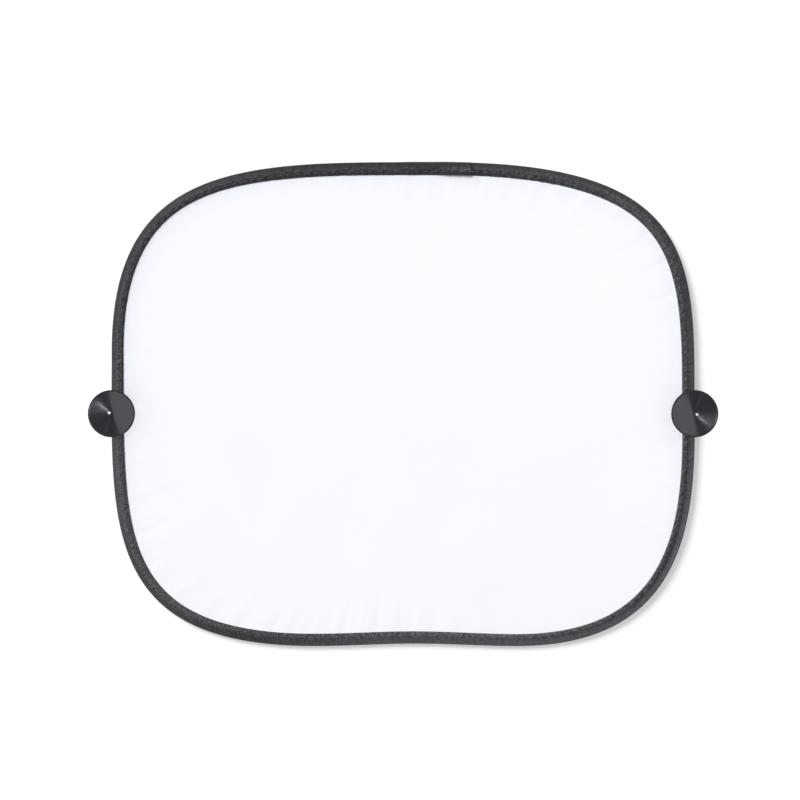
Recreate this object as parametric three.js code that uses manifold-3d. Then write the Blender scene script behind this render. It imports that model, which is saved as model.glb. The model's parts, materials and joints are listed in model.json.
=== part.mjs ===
// A car window shade: plain cloth held stretched inside a loop of spring wire.
// A tape, folded over the wire and sewn through with a lockstitch, binds the cloth to the loop.
// A suction cup turns on the wire at each side, where a window in the tape lets its stem through.
// Millimetres, +Z up. The shade lies on its back, the mouths of the cups up and its top towards +Y.

import * as THREE from "three";
import { mergeVertices } from "three/addons/utils/BufferGeometryUtils.js";
import Module from "manifold-3d";

// Outline of the bound edge
const shadeWidth = 440;
const shadeHeight = 365.5;
const crownX = 31; // where the top edge is highest
const rightWidestY = 15;
const leftWidestY = 40;
const rightFootX = 86; // the lower edge is lowest at two feet
const leftFootX = -67;
const footHollow = 1.9; // rise of the lower edge between its feet

// How far each corner's curve is drawn towards the corner, along the edge and up the side
const cornerPull = {
  topRight: { along: 0.97, up: 0.59 },
  bottomRight: { along: 1.08, up: 0.38 },
  bottomLeft: { along: 1.07, up: 0.58 },
  topLeft: { along: 0.57, up: 1.04 },
  foot: { along: 0.35 },
};

// Spring wire, and the sleeve crimped over its two ends
const wireDiameter = 1.2;
const wireEndGap = 1;
const sleeveX = 17;
const sleeveLength = 14;
const sleeveWall = 0.35;
const sleeveClearance = 0.2;

// Binding tape, folded round the wire
const tapeThickness = 0.35;
const tapeWidth = 9.2; // from the fold over the wire to the inner edge
const tapeWireClearance = 0.3;
const tapeClothGap = 0.25;
const hemWidth = 3.2; // the tape's raw edges are turned under this far
const seamMargin = 2.3; // stitches to inner edge
const seamDip = 0.4; // the stitches draw the tape in
const tapeEndX = 52; // the outer end, lapped over the inner one
const tapeLap = 12;
const tapeRampLength = 20; // along the edge, where the tape rises over the sleeve or the lap

// Cloth
const clothThickness = 0.3;
const clothInset = 6; // behind the outer edge of the tape

// Needle thread on the face, bobbin thread on the back
const threadDiameter = 0.28;
const threadClearance = 0.1;
const threadEndGap = 1.5;

// Suction cups
const cupY = -7.1; // height of both cups on the sides
const cupDiameter = 35.5;
const cupMouthHeight = 11; // mouth above the wire
const cupDepth = 6.4;
const lipWidth = 1.2;
const lipThickness = 0.7;
const wallAtLip = 0.9;
const wallAtShoulder = 1.6;
const shoulderDiameter = 16;
const apexRoundDiameter = 5;
const stemDiameter = 6;
const stemDrop = 2.8; // stem's end below the wire
const stemRise = 2.2; // stem above the wire, up to where it flares
const stemFlareHeight = 1.9;
const stemChamfer = 0.8;
const boreClearance = 0.3;

// Window in the tape round each stem
const windowDepth = 5.8;
const windowSideGap = 1.5;

// Facets
const facetTurn = THREE.MathUtils.degToRad(5); // turn of the edge between two facets
const facetRun = 40; // longest facet along the edge
const walkStep = 0.5;
const wireSides = 8;
const threadSides = 4;
const foldSides = 4; // round the fold over the wire
const hemSides = 2; // round the fold at the inner edge
const cupSides = 32;
const flareSides = 4;
const clothRings = [1, 0.7, 0.35];

const wasm = await Module();
wasm.setup();

const wireRadius = wireDiameter / 2;
const threadRadius = threadDiameter / 2;
const stemRadius = stemDiameter / 2;
const clothHalf = clothThickness / 2;
const foldInner = wireRadius + tapeWireClearance;
const foldOuter = foldInner + tapeThickness;
const hemInner = clothHalf + tapeClothGap;
const hemInset = tapeWidth - hemWidth;
const seamInset = tapeWidth - seamMargin;
const seamOuter = hemInner + 2 * tapeThickness - seamDip;
const wireInset = foldOuter;
const foldLapRise = tapeThickness + tapeClothGap;
const hemLapRise = 2 * tapeThickness + tapeClothGap;
const sleeveBore = wireRadius + sleeveClearance;
const sleeveRadius = sleeveBore + sleeveWall;
const sleeveSwell = sleeveRadius - wireRadius;

// The outer edge of the tape, clockwise from its crown
function edgePath() {
  const side = shadeWidth / 2;
  const top = shadeHeight / 2;
  const hollowX = (leftFootX + rightFootX) / 2;
  const hollowY = footHollow - top;
  const footReach = cornerPull.foot.along * (rightFootX - hollowX);
  const { topRight, bottomRight, bottomLeft, topLeft } = cornerPull;
  const path = new THREE.Path();
  path.moveTo(crownX, top);
  path.bezierCurveTo(
    crownX + topRight.along * (side - crownX), top,
    side, rightWidestY + topRight.up * (top - rightWidestY),
    side, rightWidestY,
  );
  path.bezierCurveTo(
    side, rightWidestY - bottomRight.up * (top + rightWidestY),
    rightFootX + bottomRight.along * (side - rightFootX), -top,
    rightFootX, -top,
  );
  path.bezierCurveTo(rightFootX - footReach, -top, hollowX + footReach, hollowY, hollowX, hollowY);
  path.bezierCurveTo(hollowX - footReach, hollowY, leftFootX + footReach, -top, leftFootX, -top);
  path.bezierCurveTo(
    leftFootX - bottomLeft.along * (side + leftFootX), -top,
    -side, leftWidestY - bottomLeft.up * (top + leftWidestY),
    -side, leftWidestY,
  );
  path.bezierCurveTo(
    -side, leftWidestY + topLeft.up * (top - leftWidestY),
    crownX - topLeft.along * (side + crownX), top,
    crownX, top,
  );
  return path;
}

const edge = edgePath();
const edgeLength = edge.getLength();

// A point of the edge at a distance along it, with the ways onward and inward
function edgeAt(distance) {
  const share = (d) => THREE.MathUtils.euclideanModulo(d / edgeLength, 1);
  const place = edge.getPoint(share(distance));
  const onward = edge
    .getPoint(share(distance + walkStep))
    .sub(edge.getPoint(share(distance - walkStep)))
    .normalize();
  const inward = new THREE.Vector2(onward.y, -onward.x);
  return { place, onward, inward };
}

// Distances along the edge of the sleeve, the lap and the ends of the threads
const sleeveMiddle = sleeveX - crownX;
const sleeveStart = sleeveMiddle - sleeveLength / 2;
const sleeveEnd = sleeveMiddle + sleeveLength / 2;
const tapeOuterEnd = tapeEndX - crownX;
const tapeInnerEnd = tapeOuterEnd - tapeLap;
const lapRampEnd = tapeInnerEnd - walkStep;
const lapRampStart = lapRampEnd - tapeRampLength;

// Distances that every piece along the edge has a facet's end at, so that their facets run side by side
function facetStops() {
  const stops = [
    sleeveStart - tapeRampLength,
    sleeveStart,
    sleeveEnd,
    sleeveEnd + tapeRampLength,
    lapRampStart,
    lapRampEnd,
    tapeInnerEnd,
    tapeOuterEnd,
  ].map((stop) => THREE.MathUtils.euclideanModulo(stop, edgeLength));
  let last = 0;
  let heading = edgeAt(0).onward.angle();
  for (let distance = 0; distance < edgeLength; distance += walkStep) {
    const now = edgeAt(distance).onward.angle();
    const turned = Math.abs(Math.atan2(Math.sin(now - heading), Math.cos(now - heading)));
    if (distance === 0 || turned >= facetTurn || distance - last >= facetRun) {
      stops.push(distance);
      last = distance;
      heading = now;
    }
  }
  stops.sort((a, b) => a - b);
  return stops.filter((stop, i) => i === 0 || stop - stops[i - 1] > walkStep / 2);
}

const loopStops = facetStops();

function stopsBetween(start, end) {
  const laps = [-1, 0, 1, 2].flatMap((lap) => loopStops.map((stop) => stop + lap * edgeLength));
  const inside = laps.filter((stop) => stop > start + walkStep / 2 && stop < end - walkStep / 2);
  return [start, ...inside, end];
}

function geometryOf(points, faces) {
  const geometry = new THREE.BufferGeometry();
  geometry.setAttribute("position", new THREE.Float32BufferAttribute(points.flat(), 3));
  geometry.setIndex(faces.flat());
  geometry.computeVertexNormals();
  return geometry;
}

// A closed body along the edge. section(distance) gives its corners as [inward, up], anticlockwise.
function sweep(section, start, end) {
  const stops = stopsBetween(start, end);
  const points = stops.flatMap((distance) => {
    const { place, inward } = edgeAt(distance);
    return section(distance).map(([s, z]) => [place.x + inward.x * s, place.y + inward.y * s, z]);
  });
  const outline = section(start).map(([s, z]) => new THREE.Vector2(s, z));
  const sides = outline.length;
  const faces = [];
  for (let i = 0; i < stops.length - 1; i++) {
    for (let k = 0; k < sides; k++) {
      const here = i * sides;
      const there = here + sides;
      const next = (k + 1) % sides;
      faces.push([here + k, there + k, there + next], [here + k, there + next, here + next]);
    }
  }
  const cap = THREE.ShapeUtils.triangulateShape(outline, []);
  const last = (stops.length - 1) * sides;
  faces.push(...cap);
  faces.push(...cap.map(([a, b, c]) => [last + a, last + c, last + b]));
  return geometryOf(points, faces);
}

function round(radius, sides, inset, height) {
  return Array.from({ length: sides }, (_, i) => {
    const turn = (2 * Math.PI * (i + 0.5)) / sides;
    return [inset + radius * Math.cos(turn), height + radius * Math.sin(turn)];
  });
}

// From 0 to 1 over the ramps on both sides of a stretch
function rampOver(distance, start, end) {
  const from = (distance - start) / tapeRampLength + 1;
  const to = (end - distance) / tapeRampLength + 1;
  return THREE.MathUtils.clamp(Math.min(from, to), 0, 1);
}

// The last stretch of the tape lies over the tape's first end
function lapAt(distance) {
  return rampOver(distance, edgeLength + lapRampEnd, 2 * edgeLength);
}

function swellAt(distance) {
  return sleeveSwell * rampOver(distance, edgeLength + sleeveStart, edgeLength + sleeveEnd);
}

// Half a turn anticlockwise round a middle
function halfRound(radius, sides, from, inset, height) {
  return Array.from({ length: sides + 1 }, (_, i) => {
    const turn = from + (Math.PI * i) / sides;
    return [inset + radius * Math.cos(turn), height + radius * Math.sin(turn)];
  });
}

function mirrored(face) {
  return face.map(([s, z]) => [s, -z]).reverse();
}

// The folded tape: round the wire at its outer edge, and turned under itself at its inner edge
function tapeSection(distance) {
  const lap = lapAt(distance);
  const fold = foldOuter + lap * foldLapRise + swellAt(distance);
  const hem = hemInner + lap * hemLapRise;
  const seam = seamOuter + lap * hemLapRise;
  const hemMiddle = [tapeWidth - tapeThickness, hem + tapeThickness];
  const outerFold = halfRound(fold, foldSides, Math.PI / 2, wireInset, 0);
  const innerFold = halfRound(fold - tapeThickness, foldSides, Math.PI / 2, wireInset, 0);
  const outer = [...halfRound(tapeThickness, hemSides, -Math.PI / 2, ...hemMiddle), [seamInset, seam]];
  const inner = [hemInset, hem];
  return [
    ...outer,
    ...outerFold,
    ...mirrored(outer),
    ...mirrored([inner]),
    ...innerFold.reverse(),
    inner,
  ];
}

function solidOf(geometry) {
  const bare = geometry.clone();
  bare.deleteAttribute("normal");
  bare.deleteAttribute("uv");
  const merged = mergeVertices(bare);
  const corners = merged.index.array;
  const triVerts = [];
  for (let i = 0; i < corners.length; i += 3) {
    const [a, b, c] = corners.slice(i, i + 3);
    if (a !== b && b !== c && c !== a) {
      triVerts.push(a, b, c);
    }
  }
  const vertProperties = merged.attributes.position.array;
  const mesh = new wasm.Mesh({ numProp: 3, vertProperties, triVerts: new Uint32Array(triVerts) });
  return new wasm.Manifold(mesh);
}

function geometryFrom(solid) {
  const mesh = solid.getMesh();
  const geometry = new THREE.BufferGeometry();
  geometry.setAttribute("position", new THREE.BufferAttribute(mesh.vertProperties, 3));
  geometry.setIndex(new THREE.BufferAttribute(mesh.triVerts, 1));
  geometry.computeVertexNormals();
  return geometry;
}

// Where the wire passes a side at the height of the cups, turned so that +Y runs along the wire
function cupSeat(side) {
  const stops = stopsBetween(0, edgeLength);
  const onWire = stops.map((distance) => {
    const { place, inward } = edgeAt(distance);
    return place.addScaledVector(inward, wireInset);
  });
  for (let i = 0; i < onWire.length - 1; i++) {
    const [a, b] = [onWire[i], onWire[i + 1]];
    if (side * a.x > 0 && (a.y - cupY) * (b.y - cupY) <= 0) {
      const seat = new THREE.Object3D();
      const share = (cupY - a.y) / (b.y - a.y);
      seat.position.set(a.x + share * (b.x - a.x), cupY, 0);
      seat.rotation.z = b.clone().sub(a).angle() - Math.PI / 2;
      seat.updateMatrix();
      return seat;
    }
  }
  throw new Error("the cups are higher or lower than the shade");
}

const leftSeat = cupSeat(-1);
const rightSeat = cupSeat(1);

// Resting on the stems' ends, the top and bottom edges sag until the tape nearly meets the surface below
function sag(geometry) {
  const upper = shadeHeight / 2 - cupY;
  const lower = shadeHeight / 2 + cupY;
  const lapDepth = Math.max(foldOuter + sleeveSwell + foldLapRise, seamOuter + seamDip + hemLapRise);
  const upperDrop = stemDrop - lapDepth;
  const lowerDrop = stemDrop - foldOuter;
  const place = geometry.attributes.position;
  for (let i = 0; i < place.count; i++) {
    const rise = place.getY(i) - cupY;
    const drop = rise > 0 ? upperDrop * (rise / upper) ** 2 : lowerDrop * (rise / lower) ** 2;
    place.setZ(i, place.getZ(i) - drop);
  }
  geometry.computeVertexNormals();
  return geometry;
}

function windowCutter(seat) {
  const outside = 2 * foldOuter;
  const length = stemDiameter + 2 * windowSideGap;
  const height = 4 * foldOuter;
  const cutter = new THREE.BoxGeometry(windowDepth + outside, length, height);
  cutter.translate((windowDepth - outside) / 2 - wireInset, 0, 0);
  // The wire runs up the left side and down the right one, with the cloth on its right
  return solidOf(cutter.applyMatrix4(seat.matrix));
}

function bindingTape() {
  const strip = solidOf(sweep(tapeSection, tapeInnerEnd, edgeLength + tapeOuterEnd));
  const cut = strip.subtract(windowCutter(leftSeat)).subtract(windowCutter(rightSeat));
  return sag(geometryFrom(cut));
}

function springWire() {
  const start = sleeveMiddle + wireEndGap / 2;
  const end = edgeLength + sleeveMiddle - wireEndGap / 2;
  return sag(sweep(() => round(wireRadius, wireSides, wireInset, 0), start, end));
}

function crimpedSleeve() {
  const outer = sweep(() => round(sleeveRadius, wireSides, wireInset, 0), sleeveStart, sleeveEnd);
  const bore = sweep(
    () => round(sleeveBore, wireSides, wireInset, 0),
    sleeveStart - wireEndGap,
    sleeveEnd + wireEndGap,
  );
  return sag(geometryFrom(solidOf(outer).subtract(solidOf(bore))));
}

// One line of stitching, side +1 on the face and -1 on the back
function stitchLine(side) {
  const start = tapeOuterEnd + threadEndGap;
  const end = edgeLength + tapeOuterEnd;
  const line = (distance) => {
    const height = seamOuter + lapAt(distance) * hemLapRise + threadClearance + threadRadius;
    return round(threadRadius, threadSides, seamInset, side * height);
  };
  return sag(sweep(line, start, end));
}

function clothPanel() {
  const sides = loopStops.length;
  const rings = clothRings.length;
  const points = [];
  for (const height of [clothHalf, -clothHalf]) {
    for (const size of clothRings) {
      for (const distance of loopStops) {
        const { place, inward } = edgeAt(distance);
        place.addScaledVector(inward, clothInset).multiplyScalar(size);
        points.push([place.x, place.y, height]);
      }
    }
    points.push([0, 0, height]);
  }
  const back = sides * rings + 1;
  const middle = sides * rings;
  const faces = [];
  for (let k = 0; k < sides; k++) {
    const next = (k + 1) % sides;
    for (let r = 0; r < rings - 1; r++) {
      const [a, b, c, d] = [r * sides + next, r * sides + k, (r + 1) * sides + k, (r + 1) * sides + next];
      faces.push([a, b, c], [a, c, d]);
      faces.push([back + a, back + c, back + b], [back + a, back + d, back + c]);
    }
    const inner = (rings - 1) * sides;
    faces.push([inner + next, inner + k, middle]);
    faces.push([back + inner + k, back + inner + next, back + middle]);
    faces.push([k, next, back + next], [k, back + next, back + k]);
  }
  return sag(geometryOf(points, faces));
}

// Half section of a cup, radius and height above the wire, from the stem's end round to the apex
function cupProfile() {
  const radius = cupDiameter / 2;
  const mouthRadius = radius - lipWidth;
  const shoulder = shoulderDiameter / 2;
  const apexRound = apexRoundDiameter / 2;
  const bowl = (r) => cupMouthHeight - cupDepth + (cupDepth * r) / mouthRadius;
  const flare = new THREE.QuadraticBezierCurve(
    new THREE.Vector2(stemRadius, stemRise),
    new THREE.Vector2(stemRadius, stemRise + stemFlareHeight),
    new THREE.Vector2(shoulder, bowl(shoulder) - wallAtShoulder),
  );
  const apex = new THREE.QuadraticBezierCurve(
    new THREE.Vector2(apexRound, bowl(apexRound)),
    new THREE.Vector2(apexRound / 2, bowl(apexRound / 2)),
    new THREE.Vector2(0, bowl(apexRound / 2)),
  );
  return [
    new THREE.Vector2(0, -stemDrop),
    new THREE.Vector2(stemRadius - stemChamfer, -stemDrop),
    new THREE.Vector2(stemRadius, stemChamfer - stemDrop),
    ...flare.getPoints(flareSides),
    new THREE.Vector2(mouthRadius, bowl(mouthRadius) - wallAtLip),
    new THREE.Vector2(radius, cupMouthHeight - lipThickness),
    new THREE.Vector2(radius, cupMouthHeight),
    new THREE.Vector2(mouthRadius, cupMouthHeight),
    ...apex.getPoints(2),
  ];
}

function suctionCup() {
  const turned = new THREE.LatheGeometry(cupProfile(), cupSides);
  turned.rotateX(Math.PI / 2);
  const boreRadius = wireRadius + boreClearance;
  const bore = new THREE.CylinderGeometry(boreRadius, boreRadius, 2 * stemDiameter, wireSides);
  return geometryFrom(solidOf(turned).subtract(solidOf(bore)));
}

function material(color, roughness, metalness) {
  return new THREE.MeshStandardMaterial({ color, roughness, metalness, flatShading: true });
}

const clothMaterial = material("#f4f5f9", 0.85, 0);
const tapeMaterial = material("#4b4c4e", 0.9, 0);
const wireMaterial = material("#a9acb0", 0.35, 1);
const sleeveMaterial = material("#b9bbbd", 0.45, 1);
const threadMaterial = material("#595a5d", 0.7, 0);
const cupMaterial = material("#2c2b2e", 0.3, 0);

function addPiece(group, name, geometry, finish) {
  const piece = new THREE.Mesh(geometry, finish);
  piece.name = name;
  group.add(piece);
}

function seatCup(name, seat) {
  const group = new THREE.Group();
  group.position.copy(seat.position);
  group.rotation.copy(seat.rotation);
  addPiece(group, name, suctionCup(), cupMaterial);
  return group;
}

const shade = new THREE.Group();
addPiece(shade, "shade_panel", clothPanel(), clothMaterial);
addPiece(shade, "edge_binding", bindingTape(), tapeMaterial);
addPiece(shade, "frame_wire", springWire(), wireMaterial);
addPiece(shade, "wire_sleeve", crimpedSleeve(), sleeveMaterial);
addPiece(shade, "needle_thread", stitchLine(1), threadMaterial);
addPiece(shade, "bobbin_thread", stitchLine(-1), threadMaterial);
shade.add(seatCup("left_suction_cup", leftSeat));
shade.add(seatCup("right_suction_cup", rightSeat));

// The stems' ends stand on the ground. The lap makes the top edge higher than the bottom one is low.
shade.position.set(0, -foldLapRise / 2, stemDrop);

export default shade;
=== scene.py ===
# A car window sunshade: white cloth in a loop of spring wire, a charcoal binding tape and two suction cups.
# Lengths are in millimetres until a mesh is laid on the ground. The edge runs clockwise from its crown.

import json
import math

import bmesh
import bpy
import numpy as np
from mathutils import Matrix, Vector


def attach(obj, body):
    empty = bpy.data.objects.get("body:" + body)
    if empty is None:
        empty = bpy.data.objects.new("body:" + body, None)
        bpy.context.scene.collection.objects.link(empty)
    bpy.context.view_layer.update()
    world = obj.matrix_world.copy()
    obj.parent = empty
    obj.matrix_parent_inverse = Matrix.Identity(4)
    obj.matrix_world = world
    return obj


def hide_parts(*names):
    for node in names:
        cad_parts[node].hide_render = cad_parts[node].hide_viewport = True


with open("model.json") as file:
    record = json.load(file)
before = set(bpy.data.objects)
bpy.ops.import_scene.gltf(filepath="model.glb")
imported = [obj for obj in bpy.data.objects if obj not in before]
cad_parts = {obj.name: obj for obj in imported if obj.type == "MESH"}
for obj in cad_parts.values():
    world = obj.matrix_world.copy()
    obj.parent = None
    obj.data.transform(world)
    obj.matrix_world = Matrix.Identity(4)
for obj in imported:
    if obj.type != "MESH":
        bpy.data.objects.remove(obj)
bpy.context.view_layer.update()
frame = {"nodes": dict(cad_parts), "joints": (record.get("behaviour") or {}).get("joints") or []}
print("frame: the packed model is in")

mm = 0.001
up = Vector((0, 0, 1))
hinges = {joint["child"]: joint for joint in frame["joints"]}

# The outer edge of the tape. A corner's pull is how far its curve reaches towards the corner, along and up.
edgeShape = {
    "width": 440,
    "height": 365.5,
    "crownX": 31,
    "rightWidestY": 15,
    "leftWidestY": 40,
    "rightFootX": 86,
    "leftFootX": -67,
    "footHollow": 1.9,
    "topRightPull": (0.97, 0.59),
    "bottomRightPull": (1.08, 0.38),
    "bottomLeftPull": (1.07, 0.58),
    "topLeftPull": (0.57, 1.04),
    "footPull": 0.35,
    "curvePoints": 400,
    "headingReach": 0.5,
}


def edgeLine():
    shape = edgeShape
    side, top = shape["width"] / 2, shape["height"] / 2
    crownX, rightY, leftY = shape["crownX"], shape["rightWidestY"], shape["leftWidestY"]
    rightX, leftX = shape["rightFootX"], shape["leftFootX"]
    hollowX, hollowY = (rightX + leftX) / 2, shape["footHollow"] - top
    reach = shape["footPull"] * (rightX - hollowX)
    along, rise = shape["topRightPull"]
    topRight = [(crownX + along * (side - crownX), top), (side, rightY + rise * (top - rightY))]
    along, rise = shape["bottomRightPull"]
    bottomRight = [(side, rightY - rise * (top + rightY)), (rightX + along * (side - rightX), -top)]
    along, rise = shape["bottomLeftPull"]
    bottomLeft = [(leftX - along * (side + leftX), -top), (-side, leftY - rise * (top + leftY))]
    along, rise = shape["topLeftPull"]
    topLeft = [(-side, leftY + rise * (top - leftY)), (crownX - along * (side + crownX), top)]
    rightHollow = [(rightX - reach, -top), (hollowX + reach, hollowY)]
    leftHollow = [(hollowX - reach, hollowY), (leftX + reach, -top)]
    corners = [
        [(crownX, top), *topRight, (side, rightY)],
        [(side, rightY), *bottomRight, (rightX, -top)],
        [(rightX, -top), *rightHollow, (hollowX, hollowY)],
        [(hollowX, hollowY), *leftHollow, (leftX, -top)],
        [(leftX, -top), *bottomLeft, (-side, leftY)],
        [(-side, leftY), *topLeft, (crownX, top)],
    ]
    t = np.linspace(0, 1, shape["curvePoints"], endpoint=False)[:, None]
    curves = []
    for a, b, c, d in np.array(corners, float):
        curves.append((1 - t) ** 3 * a + 3 * (1 - t) ** 2 * t * b + 3 * (1 - t) * t**2 * c + t**3 * d)
    return np.vstack([*curves, curves[0][:1]])


edgePoints = edgeLine()
edgeWalked = np.concatenate([[0], np.cumsum(np.hypot(*np.diff(edgePoints, axis=0).T))])
edgeLength = edgeWalked[-1]


def edgePlace(distance):
    walked = np.mod(distance, edgeLength)
    return np.stack([np.interp(walked, edgeWalked, axis) for axis in edgePoints.T], -1)


def edgeInward(distance):
    reach = edgeShape["headingReach"]
    onward = edgePlace(distance + reach) - edgePlace(distance - reach)
    onward /= np.linalg.norm(onward, axis=-1, keepdims=True)
    return np.stack([onward[..., 1], -onward[..., 0]], -1)


def offEdge(distance, inset, height):
    # Points of the flat shade: so far along the edge, so far in from it, so high above the wire's middle
    flat = edgePlace(distance) + edgeInward(distance) * inset
    return np.column_stack([flat, np.full(len(flat), height) if np.isscalar(height) else height])


# How the shade rests: on the ends of its cups' stems, with its top and bottom edges sagging to the ground
rest = {
    "cupY": -7.1,
    "wireHeight": hinges["left_cup"]["pos_m"][2] / mm,
    "upperClear": 2.4,  # the lapped fold over the sleeve comes down to the ground
    "lowerClear": 1.25,
}
rest["shiftY"] = hinges["left_cup"]["pos_m"][1] / mm - rest["cupY"]


def onGround(points):
    points = np.array(points, float)
    rise = points[:, 1] - rest["cupY"]
    half = edgeShape["height"] / 2
    upper = (rest["wireHeight"] - rest["upperClear"]) * (rise / (half - rest["cupY"])) ** 2
    lower = (rest["wireHeight"] - rest["lowerClear"]) * (rise / (half + rest["cupY"])) ** 2
    points[:, 2] += rest["wireHeight"] - np.where(rise > 0, upper, lower)
    points[:, 1] += rest["shiftY"]
    return points * mm


def colour(code):
    # sRGB hex to linear
    parts = [int(code[i : i + 2], 16) / 255 for i in (1, 3, 5)]
    return [p / 12.92 if p <= 0.04045 else ((p + 0.055) / 1.055) ** 2.4 for p in parts] + [1]


def addNode(tree, kind, inputs=None, **settings):
    # An input is a plain value, a socket, or a node whose first output is meant
    node = tree.nodes.new(kind)
    for name, value in settings.items():
        setattr(node, name, value)
    for key, value in (inputs or {}).items():
        if isinstance(value, bpy.types.Node):
            value = value.outputs[0]
        if isinstance(value, bpy.types.NodeSocket):
            tree.links.new(value, node.inputs[key])
        else:
            node.inputs[key].default_value = value
    return node


def maths(tree, operation, *values, **settings):
    return addNode(tree, "ShaderNodeMath", dict(enumerate(values)), operation=operation, **settings)


def attribute(tree, name, output="Fac"):
    return addNode(tree, "ShaderNodeAttribute", attribute_name=name).outputs[output]


def noise(tree, place, size, detail, **inputs):
    # The size is in the units of the place
    inputs = {"Vector": place, "Scale": 1 / size, "Detail": detail, **inputs}
    return addNode(tree, "ShaderNodeTexNoise", inputs)


def ranged(tree, value, least, most, start=0, end=1):
    # Takes the span from start to end to that from least to most
    inputs = {"Value": value, "From Min": start, "From Max": end, "To Min": least, "To Max": most}
    return addNode(tree, "ShaderNodeMapRange", inputs)


def mixed(tree, factor, a, b):
    inputs = {"Factor": factor, "A": a, "B": b}
    return addNode(tree, "ShaderNodeMix", inputs, data_type="RGBA").outputs["Result"]


def emptied(owner):
    owner.use_nodes = True
    owner.node_tree.nodes.clear()
    return owner.node_tree


def newMaterial(name, surface):
    material = bpy.data.materials.new(name)
    tree = emptied(material)
    shader = addNode(tree, "ShaderNodeBsdfPrincipled", surface)
    addNode(tree, "ShaderNodeOutputMaterial", {"Surface": shader})
    return material, tree, shader


def roughen(tree, shader, height, strength, depth):
    inputs = {"Height": height, "Strength": strength, "Distance": depth * mm}
    tree.links.new(addNode(tree, "ShaderNodeBump", inputs).outputs["Normal"], shader.inputs["Normal"])


def newTree(name, **inputs):
    # A geometry node tree with a geometry in and out and inputs of the kinds given, and its input sockets
    tree = bpy.data.node_groups.new(name, "GeometryNodeTree")
    tree.interface.new_socket(name="Geometry", in_out="INPUT", socket_type="NodeSocketGeometry")
    tree.interface.new_socket(name="Geometry", in_out="OUTPUT", socket_type="NodeSocketGeometry")
    for label, kind in inputs.items():
        tree.interface.new_socket(name=label, in_out="INPUT", socket_type="NodeSocket" + kind)
    return tree, addNode(tree, "NodeGroupInput").outputs


def sweep(tree, path, profile):
    # A profile carried along a path, with its ends closed
    inputs = {"Curve": path, "Profile Curve": profile, "Fill Caps": True}
    return addNode(tree, "GeometryNodeCurveToMesh", inputs)


def rod(tree, path, sides, radius):
    ring = addNode(tree, "GeometryNodeCurvePrimitiveCircle", {"Resolution": sides, "Radius": radius})
    return sweep(tree, path, ring)


def closeTree(tree, geometry, material):
    # Realised, smooth and with its material, because instances are lost on export
    real = addNode(tree, "GeometryNodeRealizeInstances", {"Geometry": geometry})
    smooth = addNode(tree, "GeometryNodeSetShadeSmooth", {"Geometry": real})
    dressed = addNode(tree, "GeometryNodeSetMaterial", {"Geometry": smooth, "Material": material})
    addNode(tree, "NodeGroupOutput", {"Geometry": dressed})


def linked(name, mesh):
    piece = bpy.data.objects.new(name, mesh)
    bpy.context.scene.collection.objects.link(piece)
    return piece


def meshOf(name, points, edges=(), faces=(), **attributes):
    mesh = bpy.data.meshes.new(name)
    mesh.from_pydata(np.asarray(points, float).tolist(), list(edges), list(faces))
    for label, values in attributes.items():
        values = np.asarray(values, float)
        kind, field = ("FLOAT", "value") if values.ndim == 1 else ("FLOAT_VECTOR", "vector")
        mesh.attributes.new(label, kind, "POINT").data.foreach_set(field, values.ravel())
    return mesh


def chain(points):
    return [(i, i + 1) for i in range(len(points) - 1)]


def meshPoints(mesh):
    points = np.zeros(3 * len(mesh.vertices))
    mesh.vertices.foreach_get("co", points)
    return points.reshape(-1, 3)


def lay(mesh):
    # Rests a mesh of the flat shade on the ground, with its faces outwards
    mesh.vertices.foreach_set("co", onGround(meshPoints(mesh)).ravel())
    work = bmesh.new()
    work.from_mesh(mesh)
    bmesh.ops.recalc_face_normals(work, faces=work.faces)
    work.to_mesh(mesh)
    work.free()
    mesh.update()


def modified(source, name):
    # The evaluated object as a plain mesh in a new object; the source and its modifiers are removed
    bpy.context.view_layer.update()
    graph = bpy.context.evaluated_depsgraph_get()
    seen = source.evaluated_get(graph)
    mesh = bpy.data.meshes.new_from_object(seen, preserve_all_data_layers=True, depsgraph=graph)
    mesh.name = name
    bpy.data.objects.remove(source)
    return linked(name, mesh)


def cutter(name, work):
    mesh = bpy.data.meshes.new(name)
    work.to_mesh(mesh)
    work.free()
    return linked(name, mesh)


def cutOut(piece, cutters):
    # The piece keeps its name, and the cutters are removed
    for tool in cutters:
        cut = piece.modifiers.new(tool.name, "BOOLEAN")
        cut.operation = "DIFFERENCE"
        cut.solver = "EXACT"
        cut.object = tool
    name = piece.name
    piece.name = name + "Whole"
    piece = modified(piece, name)
    for tool in cutters:
        bpy.data.objects.remove(tool)
    return piece


def facing(*axes):
    # The turn that takes X, Y and Z to the three axes
    return Matrix(axes).transposed().to_4x4()


def grow(name, source, tree, **values):
    # Runs a tree over a source mesh, with its inputs set by their sockets' identifiers
    carrier = linked(name + "Source", source)
    modifier = carrier.modifiers.new("grow", "NODES")
    modifier.node_group = tree
    sockets = {item.name: item.identifier for item in tree.interface.items_tree if item.in_out == "INPUT"}
    for label, value in values.items():
        modifier[sockets[label]] = value
    return modified(carrier, name)


# The camera looks straight down. The shade's middle is a little off the picture's.
camera = {
    "pictureSide": 800,
    "height": 1800,
    "sensor": 36,
    "millimetresPerPixel": 0.755,
    "middlePixel": (403.1, 403.8),
}


def placeCamera():
    seen = camera["millimetresPerPixel"] * camera["pictureSide"]
    data = bpy.data.cameras.new("camera")
    data.sensor_width = camera["sensor"]
    data.lens = camera["sensor"] * camera["height"] / seen
    piece = linked("camera", data)
    offset = np.subtract(camera["middlePixel"], camera["pictureSide"] / 2)
    across, down = offset * camera["millimetresPerPixel"]
    piece.location = (-across * mm, down * mm, (camera["height"] + rest["wireHeight"]) * mm)
    bpy.context.scene.camera = piece


placeCamera()
print("camera: placed")

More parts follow.
